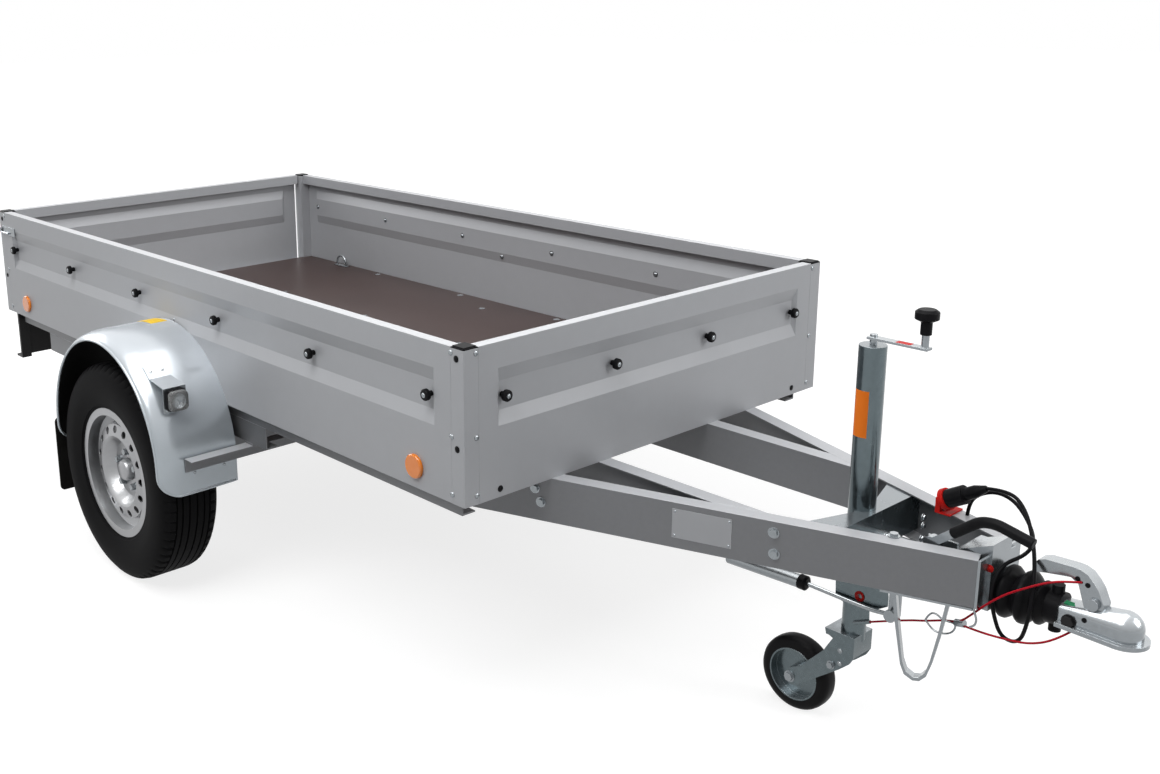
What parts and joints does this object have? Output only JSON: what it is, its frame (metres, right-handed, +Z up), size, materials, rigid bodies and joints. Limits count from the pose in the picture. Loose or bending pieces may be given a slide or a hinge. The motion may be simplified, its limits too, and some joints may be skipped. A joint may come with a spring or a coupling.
{
  "type": "single-axle utility trailer",
  "caption": "Flat-bed utility trailer with drop sides of pressed sheet, hinged tailgate, V drawbar, overrun ball coupling and jockey wheel jack.",
  "frame": {"origin": "on the ground under the middle of the whole trailer", "axes": "+X forward along the drawbar to the coupling, +Y to the trailer's left, +Z up"},
  "size_m": [3.7862, 1.824, 1.032],
  "materials": {
    "galvanised_sheet": "satin zinc-coated sheet",
    "galvanised_profile": "matt zinc-coated profile",
    "zinc_plate": "bright zinc plate",
    "fender_steel": "bright zinc-coated sheet",
    "film_plywood": "dark brown phenolic film",
    "black_plastic": "matt black",
    "black_rubber": "matt black rubber",
    "black_steel": "satin black",
    "tyre": "matt black tread",
    "wheel_silver": "satin silver",
    "amber_plastic": "glossy amber",
    "red_plastic": "glossy red",
    "clear_plastic": "clear lens"
  },
  "bodies": {
    "trailer": {"side_panel_right": "galvanised_sheet", "side_panel_left": "galvanised_sheet", "front_panel": "galvanised_sheet", "corner_posts": "galvanised_sheet", "post_caps": "black_plastic", "floor_board": "film_plywood", "tarp_knobs": "black_plastic", "side_reflectors": "amber_plastic", "tie_down_loops": "zinc_plate", "drawbar_beam_right": "galvanised_profile", "drawbar_beam_left": "galvanised_profile", "bed_frames": "galvanised_profile", "axle_beams": "galvanised_profile", "chassis_rails": "galvanised_profile", "cross_members": "galvanised_profile", "axle_tube": "galvanised_profile", "axle_arm_right": "black_steel", "axle_arm_left": "black_steel", "fender_right": "fender_steel", "fender_left": "fender_steel", "fender_bars": "galvanised_profile", "mudflaps": "black_rubber", "lamp_brackets": "zinc_plate", "front_lamps": "clear_plastic", "hinge_pins": "zinc_plate", "tailgate_latches": "zinc_plate", "rear_lamps": "red_plastic", "lamp_carriers": "black_steel", "jack_outer_tube": "zinc_plate", "jack_bracket": "zinc_plate", "jack_crank": "zinc_plate", "crank_knob": "black_plastic", "overrun_housing": "zinc_plate", "draw_tube": "zinc_plate", "bellows": "black_rubber", "coupling": "zinc_plate", "coupling_handle": "zinc_plate", "brake_strut": "zinc_plate", "support_loop": "zinc_plate", "handbrake_lever": "zinc_plate", "handbrake_grip": "black_plastic", "plug_holder": "red_plastic", "plug": "black_plastic", "lead": "black_rubber", "breakaway_cable": "red_plastic", "breakaway_loop": "red_plastic", "cable_clip": "zinc_plate"},
    "tailgate": {"tailgate": "galvanised_sheet", "tailgate_knobs": "black_plastic"},
    "wheel_right": {"tyre_right": "tyre", "rim_right": "wheel_silver", "brake_drum_right": "black_steel"},
    "wheel_left": {"tyre_left": "tyre", "rim_left": "wheel_silver", "brake_drum_left": "black_steel"},
    "jack": {"jack_inner_tube": "zinc_plate", "jack_fork": "zinc_plate"},
    "jack_wheel": {"jack_wheel_tyre": "black_rubber", "jack_wheel_rim": "zinc_plate"}
  },
  "joints": [
    {"name": "wheel_right_spin", "type": "hinge", "parent": "trailer", "child": "wheel_right", "pos_m": [-0.6281, -0.806, 0.325], "axis": [0, 1, 0], "continuous": true},
    {"name": "wheel_left_spin", "type": "hinge", "parent": "trailer", "child": "wheel_left", "pos_m": [-0.6281, 0.806, 0.325], "axis": [0, 1, 0], "continuous": true},
    {"name": "tailgate_hinge", "type": "hinge", "parent": "trailer", "child": "tailgate", "pos_m": [-1.8841, 0, 0.553], "axis": [0, -1, 0], "range_deg": [0, 180]},
    {"name": "jack_slide", "type": "slide", "parent": "trailer", "child": "jack", "axis": [0, 0, 1], "range_m": [-0.15, 0.085]},
    {"name": "jack_wheel_spin", "type": "hinge", "parent": "jack", "child": "jack_wheel", "pos_m": [1.1379, 0, 0.092], "axis": [0, 1, 0], "continuous": true}
  ]
}
